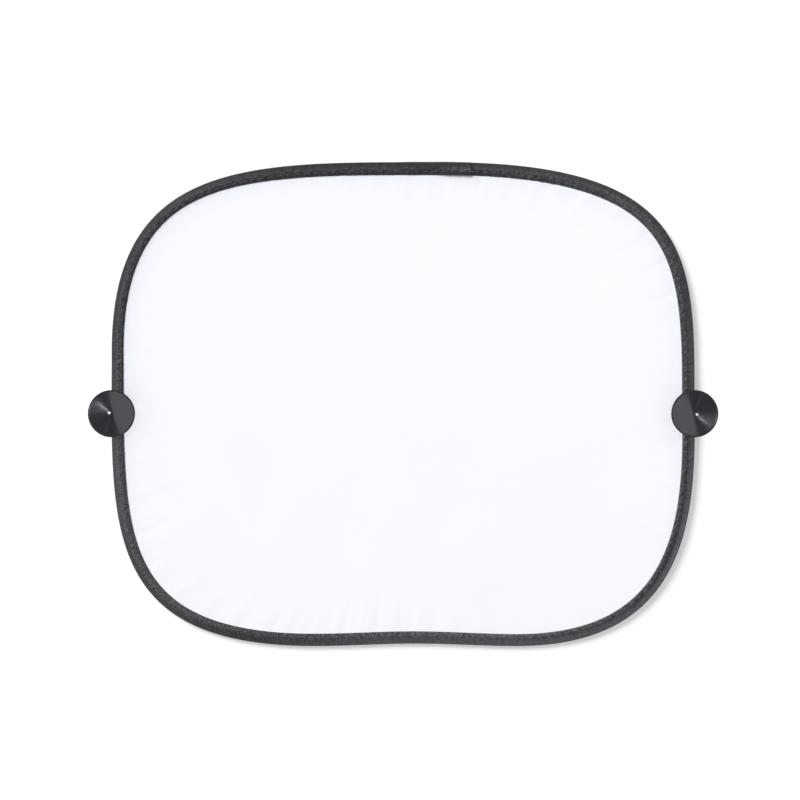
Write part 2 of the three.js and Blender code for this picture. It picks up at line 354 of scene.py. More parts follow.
# Polyester taffeta, woven plain from white thread and heat-set flat: an even, matt, slightly cool white
cloth = {
    "seed": 5,
    "inset": 6,
    "thickness": 0.3,
    "rings": 44,
    "ringCrowding": 1.7,  # the rings stand closer together towards the tape
    "alongStep": 2.4,
    "rippleHeight": 0.08,  # the stitches draw the cloth into faint ripples beside the tape
    "rippleReach": 16,
    "rippleStart": 4,
    "rippleLengths": (9, 14, 23),
    "rippleSpread": 3,
    "billowHeight": 0.4,
    "billowLengths": (70, 110),
    "billowHeadings": (0.4, 1.3, 2.6),
    "threadSpacing": 0.45,
    "threadRelief": 0.035,
    "threadBump": 0.5,
    "slubLength": 1.1,
    "slubRelief": 0.6,
    "cloudSize": 55,
    "white": "#f9f8fd",
    "shade": "#f5f4fa",
    # painted shade: a darker, bluer white laid on the cloth beside the tape, strongest at the top
    "coolWhite": "#e9eef9",  # beside the tape, most at the top
    "coolReach": 9,
    "coolBelow": 0.25,
    "surface": {"Roughness": 0.85, "Specular IOR Level": 0.2, "Sheen Weight": 0.05},
}


def taffeta():
    material, tree, shader = newMaterial("polyester_taffeta", cloth["surface"])
    place = addNode(tree, "ShaderNodeTexCoord").outputs["Object"]
    turns = math.pi / (cloth["threadSpacing"] * mm)
    scaled = addNode(tree, "ShaderNodeVectorMath", {0: place, "Scale": turns}, operation="SCALE")
    axes = addNode(tree, "ShaderNodeSeparateXYZ", {0: scaled})
    warp, weft = (maths(tree, "SINE", axes.outputs[axis]) for axis in "XY")
    slub = noise(tree, place, cloth["slubLength"] * mm, detail=3)
    relief = maths(tree, "MULTIPLY_ADD", slub, cloth["slubRelief"], maths(tree, "MULTIPLY", warp, weft))
    roughen(tree, shader, relief, cloth["threadBump"], cloth["threadRelief"])
    cloudy = noise(tree, place, cloth["cloudSize"] * mm, detail=5)
    tint = mixed(tree, cloudy, colour(cloth["white"]), colour(cloth["shade"]))
    # mixes in the painted shade beside the tape
    shadePainted = mixed(tree, attribute(tree, "cool"), tint, colour(cloth["coolWhite"]))
    tree.links.new(shadePainted, shader.inputs["Base Color"])
    return material


def ripple(chance, along):
    # A sum of waves of about the given lengths, whole numbers of them round the edge
    waves, spread = 0, cloth["rippleSpread"]
    for length in cloth["rippleLengths"]:
        for count in round(edgeLength / length) + 2 * np.arange(-spread, spread + 1):
            turn = 2 * math.pi * count / edgeLength
            waves = waves + chance.normal() * np.sin(turn * along + chance.uniform(0, 2 * math.pi))
    return waves / math.sqrt((2 * spread + 1) * len(cloth["rippleLengths"]))


def billow(chance, x, y):
    waves = [(length, heading) for length in cloth["billowLengths"] for heading in cloth["billowHeadings"]]
    total = 0
    for length, heading in waves:
        way = 2 * math.pi / length * (x * math.cos(heading) + y * math.sin(heading))
        total = total + np.sin(way + chance.uniform(0, 2 * math.pi))
    return total / len(waves)


def clothPanel():
    chance = np.random.default_rng(cloth["seed"])
    steps = round(edgeLength / cloth["alongStep"])
    along = np.arange(steps) * edgeLength / steps
    rim = offEdge(along, cloth["inset"], 0)
    sizes = 1 - np.linspace(0, 1, cloth["rings"] + 1)[:-1] ** cloth["ringCrowding"]
    gathers = ripple(chance, along)
    front = np.vstack([rim * size for size in sizes] + [[0, 0, 0]])
    share = np.append(np.repeat(sizes, steps), 0)
    depth = np.linalg.norm(front - np.vstack([np.tile(rim, (len(sizes), 1)), rim[:1]]), axis=1)
    near = np.exp(-depth / cloth["rippleReach"]) * (1 - np.exp(-depth / cloth["rippleStart"]))
    front[:, 2] = cloth["rippleHeight"] * np.append(np.tile(gathers, len(sizes)), 0) * near
    front[:, 2] += cloth["billowHeight"] * billow(chance, front[:, 0], front[:, 1]) * (1 - share) * share
    # the painted shade fades from the tape inwards and is weaker towards the bottom
    upper = np.clip(1 + front[:, 1] / edgeShape["height"] * 2, cloth["coolBelow"], 1)
    cool = upper * np.exp(-depth / cloth["coolReach"])
    half = np.array([0, 0, cloth["thickness"] / 2])
    rings, middle, back = len(sizes), steps * len(sizes), steps * len(sizes) + 1
    faces = []
    for k in range(steps):
        after = (k + 1) % steps
        for r in range(rings - 1):
            quad = (r * steps + after, r * steps + k, (r + 1) * steps + k, (r + 1) * steps + after)
            faces += [quad, tuple(back + v for v in reversed(quad))]
        last = (rings - 1) * steps
        faces += [(last + after, last + k, middle), (back + last + k, back + last + after, back + middle)]
        faces.append((k, after, back + after, back + k))
    mesh = meshOf("shadeCloth", np.vstack([front + half, front - half]), faces=faces, cool=np.tile(cool, 2))
    mesh.materials.append(taffeta())
    mesh.shade_smooth()
    lay(mesh)
    span = rim.max(0) - rim.min(0)
    x, y = rim[:, 0], rim[:, 1]
    area = abs(np.sum(x * np.roll(y, -1) - y * np.roll(x, -1))) / 2
    return linked("shadeCloth", mesh), span, area


clothPiece, clothSpan, clothArea = clothPanel()
print("cloth: %.0f by %.0f mm, %.0f square centimetres" % (clothSpan[0], clothSpan[1], clothArea / 100))

# Stitches: a lockstitch whose thread sinks into the tape at each needle hole
stitch = {
    "inset": 6.9,
    "pitch": 6.9,
    "length": 5.2,
    "threadRadius": 0.17,
    "rise": 0.1,
    "sink": 0.42,
    "seamHeight": 0.93,
    "archSteps": 10,
    "threadSides": 8,
    "plyLength": 0.4,
    "plyBump": 0.5,
    "plyRelief": 0.05,
    "surface": {"Base Color": colour("#66676c"), "Roughness": 0.7, "Specular IOR Level": 0.3},
}

# What the stitches' tree is given of these
stitchInputs = ("pitch", "length", "threadRadius", "rise", "sink")

# The tape: its fold goes round the wire, and its inner edge is turned under
tape = {
    "thickness": 0.35,
    "wireInset": 1.25,
    "boreReach": 0.9,
    "boreHeight": 0.72,
    "boreSteps": 5,
    "endX": 52,  # the outer end, lapped over the inner one
    "lap": 12,
    "ramp": 20,
    "lapClear": 0.06,
    "lapLead": 0.5,
    "lapEdgeRise": 0.36,  # of the turned edge's underside
    "turnedBelow": 0.45,
    "sleeveX": 17,
    "sleeveLength": 14,
    "sleeveSwell": 0.55,
    "outwardShare": 0.5,  # the swellings stand up more than they stand out
    "stationsPerStitch": 8,
    "face": [  # inset and height, from the underside of the inner edge round to the outer edge
        (8.85, 0.36), (9.12, 0.38), (9.2, 0.44), (9.02, 0.58), (8.6, 0.8), (8.0, 1.12),
        (7.4, 1.3), (6.9, 1.19), (6.4, 1.25), (5.9, 1.13), (5.4, 0.98), (4.9, 0.86),
        (4.3, 0.79), (3.6, 0.8), (2.8, 0.87), (2.0, 1.0), (1.3, 1.16), (0.8, 1.28),
        (0.42, 1.31), (0.16, 1.14), (0.05, 0.85), (0, 0.4), (0, 0),
    ],
    "flatFace": [  # the same points where the tape lies flat from the wire to its hem
        (8.75, 0.3), (8.98, 0.31), (9.06, 0.36), (8.95, 0.44), (8.6, 0.55), (8.0, 0.78),
        (7.4, 1.0), (6.9, 1.1), (6.4, 1.18), (5.9, 1.21), (5.4, 1.21), (4.9, 1.2),
        (4.3, 1.18), (3.6, 1.16), (2.8, 1.14), (2.0, 1.13), (1.3, 1.14), (0.8, 1.17),
        (0.42, 1.19), (0.16, 1.06), (0.05, 0.8), (0, 0.38), (0, 0),
    ],
    "flatness": [
        (0, 0.9), (50, 0.9), (215, 0.6), (300, 0.4), (430, -0.5), (500, 0.4), (620, 0.8),
        (1000, 1),
    ],
    "lining": [(6, 0.4), (4.6, 0.38), (3.2, 0.42)],  # the inner side, from the raw edge towards the wire
    "hemStart": 5.5,  # inside this the tape is double
    "hemFull": 6.4,
    "pitDepth": 0.42,
    "pitSize": 0.9,
    "pitReach": 1.8,  # towards the turned edge, which dips at each needle hole
    "pitSpread": 0.28,  # between the needle holes the seam is drawn in this much
    "seed": 3.0,
    "puckerHeight": 0.28,
    "puckerLength": 4.5,
    "puckerAcross": 0.4,
    "puckerFrom": 2,  # towards the wire the tape is taut
    "puckerLeast": 0.15,
    "gathers": [(0, 2), (30, 1.3), (90, 2.2), (200, 1.2), (420, 2.6), (560, 1.2), (680, 0.6), (1200, 0.7)],
    "widths": [
        (0, 0.7), (90, 0.9), (215, 0.75), (290, 0.35), (400, 0), (580, 0), (690, 0.3),
        (800, 0.3), (880, 0.15), (960, 0.45), (1060, -0.1), (1180, -0.45), (1270, 0.6),
    ],
    "widenOver": 2,
    "sway": 0.3,
    "swayLength": 60,
    "creaseAt": 454,
    "creaseSlant": 0.9,
    "creaseDepth": 0.3,
    "creaseWidth": 0.8,
    "dark": "#0d0d10",
    "light": "#4b4c51",
    "tones": [(3.2, 0.44), (5, 0.5), (6, 0.365), (7.6, 0.365), (8.4, 0.5)],  # darker from 6 to 7.6 mm in, across the stitch line, and a little darker from the outer edge to 3.2 mm in
    "textures": [(3.2, 0.4), (5.2, 1)],  # and the tape is smoother where the wire stretches it
    # painted light and shade: the tape is made lighter in some stretches and darker in others, by how light
    # falls on each side
    "fades": [
        (0, -0.25), (100, -0.06), (220, -0.28), (300, 0), (580, 0.25), (690, 0.12),
        (780, -0.3), (880, -0.06), (960, 0.35), (1070, -0.03), (1190, 0.14), (1290, -0.31),
    ],
    "ribSpacing": 1.1,
    "ribWander": 2.0,
    "wanderSize": 2.9,
    "twillSpacing": 2.3,
    "twillTone": 0.05,
    "fibreSize": 0.62,
    "fibreStretch": (2.2, 0.9, 1),
    "fibreRoughness": 0.7,
    "fibreRelief": 2.5,  # against the ribs' relief of 1
    "blotchSize": 2.6,
    "blotchStretch": (1, 0.55, 1),
    "blotchSlant": 0.6,
    "blotchRoughness": 0.65,
    "blotchRelief": 10,
    "weaveRelief": 0.12,
    "mottle": (0.88, 1.2),  # the noise that makes the darkest and the lightest threads
    "surface": {
        "Roughness": 0.48,
        "Specular IOR Level": 0.35,
        "Sheen Weight": 0.04,
        "Sheen Roughness": 0.5,
    },
}

# What the tape's tree is given of these
tapeInputs = (
    "pitDepth",
    "seed",
    "puckerHeight",
    "puckerLength",
    "puckerAcross",
    "sway",
    "swayLength",
    "creaseAt",
    "creaseSlant",
    "creaseDepth",
    "creaseWidth",
)

lapEnd = tape["endX"] - edgeShape["crownX"]
lapStart = lapEnd - tape["lap"]


def seamWalk():
    # Distances along the edge of the needle holes, evenly spaced along the seam itself
    fine = np.arange(lapStart, edgeLength + lapEnd, edgeShape["headingReach"])
    seam = offEdge(fine, stitch["inset"], 0)
    walked = np.concatenate([[0], np.cumsum(np.linalg.norm(np.diff(seam, axis=0), axis=1))])
    stitches = math.floor(walked[-1] / stitch["pitch"])
    parts = stitches * tape["stationsPerStitch"]
    return np.interp(np.linspace(0, walked[-1], parts + 1), walked, fine)


def ramped(distance, start, end):
    rise = np.minimum((distance - start) / tape["ramp"] + 1, (end - distance) / tape["ramp"] + 1)
    rise = np.clip(rise, 0, 1)
    return rise * rise * (3 - 2 * rise)


def lapped(distance):
    # 0 along the tape, and 1 where its outer end lies over the inner one
    return ramped(distance, edgeLength + lapStart - tape["lapLead"], 2 * edgeLength)


def smoothStep(values, start, end):
    share = np.clip((values - start) / (end - start), 0, 1)
    return share * share * (3 - 2 * share)


def tapeSection():
    face = np.array(tape["face"])
    flatter = np.array(tape["flatFace"]) - face
    turn = np.linspace(math.pi / 2, 3 * math.pi / 2, tape["boreSteps"] + 1)
    wireInset = tape["wireInset"]
    ring = np.column_stack([np.cos(turn), np.sin(turn)])
    bore = (wireInset, 0) + ring * (tape["boreReach"], tape["boreHeight"])
    lining = np.array(tape["lining"])
    line = np.vstack([face, (face * (1, -1))[-2::-1], lining * (1, -1), bore[::-1], lining[::-1]])
    inset, height = line.T
    side = np.sign(height)
    still = np.zeros(len(line))
    outside = np.arange(len(line)) < 2 * len(face) - 1
    fromWire = line - (wireInset, 0)
    away = fromWire / np.maximum(np.linalg.norm(fromWire, axis=1), tape["thickness"])[:, None]
    away[:, 0] *= tape["outwardShare"]
    onFold = (inset < wireInset)[:, None]

    # Where the tape is lapped its outer end rises by one thickness, or by two over the turned edge
    flatThere = tape["flatness"][0][1]
    topLine = (face + flatThere * flatter)[np.argmax(face[:, 0]) :][::-1]
    double = smoothStep(inset, tape["hemStart"], tape["hemFull"])
    lapOutside = tape["lapClear"] + tape["thickness"] * (1 + double)
    lapInside = np.interp(inset, *topLine.T) + tape["lapClear"] - abs(height)
    lapRise = np.where(outside, lapOutside, lapInside)
    turned = outside & (inset > tape["lining"][0][0]) & (abs(height) < tape["turnedBelow"])
    lapRise[turned] = tape["lapEdgeRise"]
    foldRise = tape["lapClear"] + tape["thickness"]
    lapMove = np.where(onFold, away * foldRise, np.column_stack([still, side * lapRise]))
    flat = np.clip((inset - wireInset) / (stitch["inset"] - wireInset), 0, 1)
    swellMove = np.where(onFold, away, np.column_stack([still, side * (1 - flat)])) * tape["sleeveSwell"]
    upright = outside * side
    fromSeam = inset - stitch["inset"]
    pitSize = np.where(fromSeam > 0, tape["pitReach"], tape["pitSize"])
    pit = np.exp(-((fromSeam / pitSize) ** 2)) * upright
    flatMove = np.zeros((len(line), 3))
    flatMove[outside, :2] = np.vstack([flatter, (flatter * (1, -1))[-2::-1]])
    loose = np.clip(inset / tape["puckerFrom"], tape["puckerLeast"], 1) * upright
    widen = smoothStep(inset, stitch["inset"], stitch["inset"] + tape["widenOver"])
    walked = np.concatenate([[0], np.cumsum(np.linalg.norm(np.diff(line, axis=0), axis=1))])
    closed = [(i, (i + 1) % len(line)) for i in range(len(line))]
    return meshOf(
        "tapeSection",
        np.column_stack([line, still]),
        closed,
        section=np.column_stack([line, walked]),
        lapMove=np.column_stack([lapMove, still]),
        swellMove=np.column_stack([swellMove, still]),
        pitMove=np.column_stack([still, -pit, still]),
        flatMove=flatMove,
        puckerMove=np.column_stack([still, loose, still]),
        widenMove=np.column_stack([widen, still, still]),
        tone=np.interp(inset, *zip(*tape["tones"])),
        texture=np.interp(inset, *zip(*tape["textures"])),
    )


def tapePath(holes):
    stations = len(holes)
    within = np.arange(stations) % tape["stationsPerStitch"] / tape["stationsPerStitch"]
    fromHole = np.minimum(within, 1 - within) * stitch["pitch"]
    drawn = tape["pitSpread"]
    sleeve = edgeLength + tape["sleeveX"] - edgeShape["crownX"]
    path = offEdge(holes, 0, 0)

    def varied(name):
        return np.interp(holes, *zip(*tape[name]), period=edgeLength)

    return meshOf(
        "tapePath",
        path,
        chain(path),
        place=path,
        inward=np.column_stack([edgeInward(holes), np.zeros(stations)]),
        along=holes,
        lap=lapped(holes),
        swell=ramped(holes, sleeve - tape["sleeveLength"] / 2, sleeve + tape["sleeveLength"] / 2),
        pit=drawn + (1 - drawn) * np.exp(-((fromHole / tape["pitSize"]) ** 2)),
        gather=varied("gathers"),
        flat=varied("flatness"),
        widen=varied("widths"),
        fade=varied("fades"),
    )


# Spun polyester binding, woven with fine ribs across it: charcoal, a little lustrous towards the light.
# Its threads are too fine to show, so its ribs are drawn as coarse as they need to be.
def bindingWeave():
    material, tree, shader = newMaterial("woven_polyester_binding", tape["surface"])
    weave = attribute(tree, "weave", "Vector")
    texture, tone, fade = (attribute(tree, name) for name in ("texture", "tone", "fade"))
    axes = addNode(tree, "ShaderNodeSeparateXYZ", {0: weave})
    across = axes.outputs["Y"]
    wander = noise(tree, weave, tape["wanderSize"], detail=2)
    along = maths(tree, "MULTIPLY_ADD", wander, tape["ribWander"], axes.outputs["X"])

    def wave(place, spacing):
        return maths(tree, "SINE", maths(tree, "MULTIPLY", place, 2 * math.pi / tape[spacing]))

    rib = wave(along, "ribSpacing")
    rising, falling = (wave(maths(tree, way, along, across), "twillSpacing") for way in ("ADD", "SUBTRACT"))
    twill = maths(tree, "MULTIPLY", rising, falling)
    stretched = addNode(tree, "ShaderNodeMapping", {"Vector": weave, "Scale": tape["fibreStretch"]})
    fibre = noise(tree, stretched, tape["fibreSize"], detail=6, Roughness=tape["fibreRoughness"])
    slanting = addNode(tree, "ShaderNodeMapping", {"Vector": weave, "Scale": tape["blotchStretch"]})
    slanting.inputs["Rotation"].default_value = (0, 0, tape["blotchSlant"])
    blotch = noise(tree, slanting, tape["blotchSize"], detail=4, Roughness=tape["blotchRoughness"])
    relief = maths(tree, "MULTIPLY_ADD", fibre, tape["fibreRelief"], rib)
    relief = maths(tree, "MULTIPLY_ADD", blotch, tape["blotchRelief"], relief)
    roughen(tree, shader, relief, texture, tape["weaveRelief"])
    mottle = maths(tree, "MULTIPLY_ADD", twill, tape["twillTone"], maths(tree, "ADD", fibre, blotch))
    spread = ranged(tree, mottle, -0.5, 0.5, *tape["mottle"])
    toned = maths(tree, "MULTIPLY_ADD", spread, texture, tone)
    # adds the painted light and shade of each side of the tape
    sideLightPainted = maths(tree, "ADD", toned, fade, use_clamp=True)
    tint = mixed(tree, sideLightPainted, colour(tape["dark"]), colour(tape["light"]))
    tree.links.new(tint, shader.inputs["Base Color"])
    return material


def tapeTree():
    kinds = dict.fromkeys(tapeInputs, "Float")
    tree, given = newTree("foldedTape", Section="Object", **kinds, Material="Material")
    path = addNode(tree, "GeometryNodeMeshToCurve", {"Mesh": given["Geometry"]})
    section = addNode(tree, "GeometryNodeObjectInfo", {"Object": given["Section"]})
    outline = addNode(tree, "GeometryNodeMeshToCurve", {"Mesh": section.outputs["Geometry"]})
    swept = sweep(tree, path, outline)

    def named(label, kind="FLOAT"):
        return addNode(tree, "GeometryNodeInputNamedAttribute", {"Name": label}, data_type=kind)

    def scaled(vector, much):
        return addNode(tree, "ShaderNodeVectorMath", {0: vector, "Scale": much}, operation="SCALE")

    def added(a, b):
        return addNode(tree, "ShaderNodeVectorMath", {0: a, 1: b}, operation="ADD")

    # The tape's own unevenness: short puckers, a face that flattens and hollows, and one crease
    moved = named("section", "FLOAT_VECTOR")
    parts = addNode(tree, "ShaderNodeSeparateXYZ", {0: moved})
    along, across = named("along"), parts.outputs["Z"]
    longer = maths(tree, "MULTIPLY", across, given["puckerAcross"])
    strip = addNode(tree, "ShaderNodeCombineXYZ", {"X": along, "Y": longer, "Z": given["seed"]})
    finer = maths(tree, "DIVIDE", 1, given["puckerLength"])
    pucker = addNode(tree, "ShaderNodeTexNoise", {"Vector": strip, "Scale": finer, "Detail": 2})
    gathered = maths(tree, "MULTIPLY", named("gather"), given["puckerHeight"])
    puckerMuch = maths(tree, "MULTIPLY", maths(tree, "SUBTRACT", pucker, 0.5), gathered)
    slower = maths(tree, "DIVIDE", along, given["swayLength"])
    slowly = {"W": slower, "Scale": 1, "Detail": 1}
    sway = addNode(tree, "ShaderNodeTexNoise", slowly, noise_dimensions="1D")
    swayMuch = maths(tree, "MULTIPLY", maths(tree, "SUBTRACT", sway, 0.5), given["sway"])
    slanted = maths(tree, "MULTIPLY_ADD", parts.outputs["X"], given["creaseSlant"], along)
    offCrease = maths(tree, "SUBTRACT", slanted, given["creaseAt"])
    offCrease = maths(tree, "DIVIDE", offCrease, given["creaseWidth"])
    fading = maths(tree, "MULTIPLY", maths(tree, "MULTIPLY", offCrease, offCrease), -1)
    lowered = maths(tree, "MULTIPLY", given["creaseDepth"], -1)

    # Each move is an attribute of the section, times how much of it there is at this place along
    for label, much in [
        ("lapMove", named("lap")),
        ("swellMove", named("swell")),
        ("pitMove", maths(tree, "MULTIPLY", named("pit"), given["pitDepth"])),
        ("flatMove", maths(tree, "ADD", named("flat"), swayMuch)),
        ("puckerMove", puckerMuch),
        ("puckerMove", maths(tree, "MULTIPLY", maths(tree, "POWER", math.e, fading), lowered)),
        ("widenMove", named("widen")),
    ]:
        moved = added(moved, scaled(named(label, "FLOAT_VECTOR"), much))
    moved = addNode(tree, "ShaderNodeSeparateXYZ", {0: moved})
    lifted = addNode(tree, "ShaderNodeCombineXYZ", {"Z": moved.outputs["Y"]})
    inset = scaled(named("inward", "FLOAT_VECTOR"), moved.outputs["X"])
    place = added(added(named("place", "FLOAT_VECTOR"), inset), lifted)
    shaped = addNode(tree, "GeometryNodeSetPosition", {"Geometry": swept, "Position": place})
    weave = addNode(tree, "ShaderNodeCombineXYZ", {"X": along, "Y": across})
    inputs = {"Geometry": shaped, "Name": "weave", "Value": weave}
    woven = addNode(tree, "GeometryNodeStoreNamedAttribute", inputs, data_type="FLOAT_VECTOR")
    closeTree(tree, woven, given["Material"])
    return tree


# A window in the tape lets each cup's stem through
window = {"depth": 5.8, "length": 9, "outside": 2.5, "height": 5}


def cutWindows(piece):
    reach = window["depth"] + window["outside"]
    middle = (window["depth"] - window["outside"]) / 2 - tape["wireInset"]
    cutters = []
    for hinge in hinges.values():
        sideways = Vector(hinge["axis"]).cross(up)  # points away from the cloth
        if sideways.x * hinge["pos_m"][0] < 0:
            sideways.negate()
        work = bmesh.new()
        bmesh.ops.create_cube(work, size=1)
        size = Vector((reach, window["length"], window["height"])) * mm
        bmesh.ops.scale(work, vec=size, verts=work.verts)
        bmesh.ops.translate(work, vec=(-middle * mm, 0, 0), verts=work.verts)
        work.transform(Matrix.Translation(hinge["pos_m"]) @ facing(sideways, up.cross(sideways), up))
        cutters.append(cutter("window", work))
    return cutOut(piece, cutters)


def edgeBinding(holes):
    section = linked("tapeSection", tapeSection())
    given = {label: tape[label] for label in tapeInputs}
    path, tree, weave = tapePath(holes), tapeTree(), bindingWeave()
    piece = grow("edgeBinding", path, tree, Section=section, Material=weave, **given)
    bpy.data.objects.remove(section)
    lay(piece.data)
    return cutWindows(piece)


holes = seamWalk()
tapePiece = edgeBinding(holes)
print("tape: %d stitches long" % (len(holes) // tape["stationsPerStitch"]))


# Spun polyester thread, two plies twisted: matt, a little lighter than the tape
def spunThread():
    material, tree, shader = newMaterial("spun_polyester_thread", stitch["surface"])
    place = addNode(tree, "ShaderNodeTexCoord").outputs["Object"]
    ply = noise(tree, place, stitch["plyLength"] * mm, detail=2)
    roughen(tree, shader, ply, stitch["plyBump"], stitch["plyRelief"])
    return material


def stitchTree():
    kinds = dict.fromkeys((*stitchInputs, "side"), "Float")
    tree, given = newTree("lockstitch", **kinds, Material="Material")
    path = addNode(tree, "GeometryNodeMeshToCurve", {"Mesh": given["Geometry"]})
    inputs = {"Curve": path, "Length": given["pitch"]}
    centres = addNode(tree, "GeometryNodeResampleCurve", inputs, mode="LENGTH")
    half = maths(tree, "MULTIPLY", given["length"], 0.5)
    back = maths(tree, "MULTIPLY", given["length"], -0.5)
    sink, rise = (maths(tree, "MULTIPLY", given[label], given["side"]) for label in ("sink", "rise"))
    down = maths(tree, "MULTIPLY", sink, -1.0)
    start = addNode(tree, "ShaderNodeCombineXYZ", {"X": back, "Z": down})
    lift = maths(tree, "MULTIPLY_ADD", rise, 2.0, sink)
    middle = addNode(tree, "ShaderNodeCombineXYZ", {"Z": lift})
    end = addNode(tree, "ShaderNodeCombineXYZ", {"X": half, "Z": down})
    inputs = {"Resolution": stitch["archSteps"], "Start": start, "Middle": middle, "End": end}
    arch = addNode(tree, "GeometryNodeCurveQuadraticBezier", inputs)
    thread = rod(tree, arch, stitch["threadSides"], given["threadRadius"])
    inputs = {"Primary Axis": addNode(tree, "GeometryNodeInputTangent"), "Secondary Axis": up}
    turn = addNode(tree, "FunctionNodeAxesToRotation", inputs, primary_axis="X", secondary_axis="Z")
    inputs = {"Points": centres, "Instance": thread, "Rotation": turn}
    sewn = addNode(tree, "GeometryNodeInstanceOnPoints", inputs)
    closeTree(tree, sewn, given["Material"])
    return tree


def seamStitches(name, side, holes, material):
    # Stitches run from just past the lap's end to the lap's end again, centred between the needle holes
    centres = holes[tape["stationsPerStitch"] // 2 :]
    centres = centres[centres > lapEnd + stitch["pitch"] / 2]
    height = side * (stitch["seamHeight"] + lapped(centres) * (tape["lapClear"] + 2 * tape["thickness"]))
    path = offEdge(centres, stitch["inset"], height)
    source = meshOf(name + "Path", path, chain(path))
    given = {label: stitch[label] for label in stitchInputs}
    piece = grow(name, source, stitchTree(), side=float(side), Material=material, **given)
    lay(piece.data)
    return piece


threadMaterial = spunThread()
needlePiece = seamStitches("needleStitches", 1, holes, threadMaterial)
bobbinPiece = seamStitches("bobbinStitches", -1, holes, threadMaterial)
print("stitches: sewn on the face and the back")

# Spring steel wire, hard drawn: bright grey, with fine lines along it
wire = {
    "diameter": 1.2,
    "endGap": 1,
    "sides": 16,
    "step": 4,
    "lineSize": 0.55,
    "lineBump": 0.2,
    "lineRelief": 0.02,
    "unevenness": 0.1,
    "steel": "#9fa2a6",
    "steelRoughness": 0.32,
    "plated": "#b4b6b8",
    "platedRoughness": 0.42,
}


def drawnSteel(name, tone, roughness):
    material, tree, shader = newMaterial(name, {"Base Color": colour(tone), "Metallic": 1})
    place = addNode(tree, "ShaderNodeTexCoord").outputs["Object"]
    streak = noise(tree, place, wire["lineSize"] * mm, detail=3)
    least, most = roughness - wire["unevenness"], roughness + wire["unevenness"]
    span = ranged(tree, streak, least, most)
    tree.links.new(span.outputs["Result"], shader.inputs["Roughness"])
    roughen(tree, shader, streak, wire["lineBump"], wire["lineRelief"])
    return material


def wireTree():
    tree, given = newTree("springWire", Radius="Float", Sides="Int", Material="Material")
    path = addNode(tree, "GeometryNodeMeshToCurve", {"Mesh": given["Geometry"]})
    closeTree(tree, rod(tree, path, given["Sides"], given["Radius"]), given["Material"])
    return tree


def springWire():
    sleeve = tape["sleeveX"] - edgeShape["crownX"]
    start, end = sleeve + wire["endGap"] / 2, edgeLength + sleeve - wire["endGap"] / 2
    walk = np.linspace(start, end, round(edgeLength / wire["step"]))
    path = offEdge(walk, tape["wireInset"], 0)
    source = meshOf("wirePath", path, chain(path))
    steel = drawnSteel("hard_drawn_spring_steel", wire["steel"], wire["steelRoughness"])
    radius = wire["diameter"] / 2
    piece = grow("springWire", source, wireTree(), Radius=radius, Sides=wire["sides"], Material=steel)
    lay(piece.data)
    return piece


wirePiece = springWire()
plated = drawnSteel("zinc_plated_steel", wire["plated"], wire["platedRoughness"])
frame["nodes"]["wire_sleeve"].data.materials.clear()
frame["nodes"]["wire_sleeve"].data.materials.append(plated)
print("wire: bent round, with its sleeve")

# Suction cups, moulded in one piece with their stems
cup = {
    "diameter": 35.5,
    "mouthHeight": 11,
    "depth": 6.4,
    "lipWidth": 1.2,
    "lipThickness": 0.7,
    "lipRound": 0.22,
    "mouthRound": 0.06,
    "wallAtLip": 0.9,
    "wallAtShoulder": 1.6,
    "shoulderDiameter": 16,
    "apexRoundDiameter": 9,
    "stemDiameter": 6,
    "stemRise": 2.2,
    "stemFlareHeight": 1.9,
    "stemChamfer": 0.8,
    "boreDiameter": 1.8,
    "boreSides": 32,
    "steps": 144,
    "roundSteps": 4,
    "flareSteps": 14,
    "straightSteps": 6,
    "tipSteps": 8,
    "sharpFrom": 40,
    "hazeSize": 3.8,
    "hazeRoughness": (0.15, 0.22),
    "hazeBump": 0.1,
    "hazeRelief": 0.05,
    "surface": {
        "Base Color": colour("#141116"),
        "Specular IOR Level": 0.36,
        # painted light: the reflections are tinted violet, the colour of the surroundings rather than of
        # the PVC
        "Specular Tint": colour("#f7edff"),
    },
}


# Soft PVC, injection moulded in a polished mould: black, with sharp, dim reflections
def softPvc():
    material, tree, shader = newMaterial("polished_soft_pvc", cup["surface"])
    place = addNode(tree, "ShaderNodeTexCoord").outputs["Object"]
    haze = noise(tree, place, cup["hazeSize"] * mm, detail=2)
    gloss = ranged(tree, haze, *cup["hazeRoughness"])
    tree.links.new(gloss.outputs["Result"], shader.inputs["Roughness"])
    roughen(tree, shader, haze, cup["hazeBump"], cup["hazeRelief"])
    return material


def quadratic(a, b, c, steps):
    t = np.linspace(0, 1, steps + 1)[:, None]
    return (1 - t) ** 2 * np.array(a) + 2 * (1 - t) * t * np.array(b) + t**2 * np.array(c)


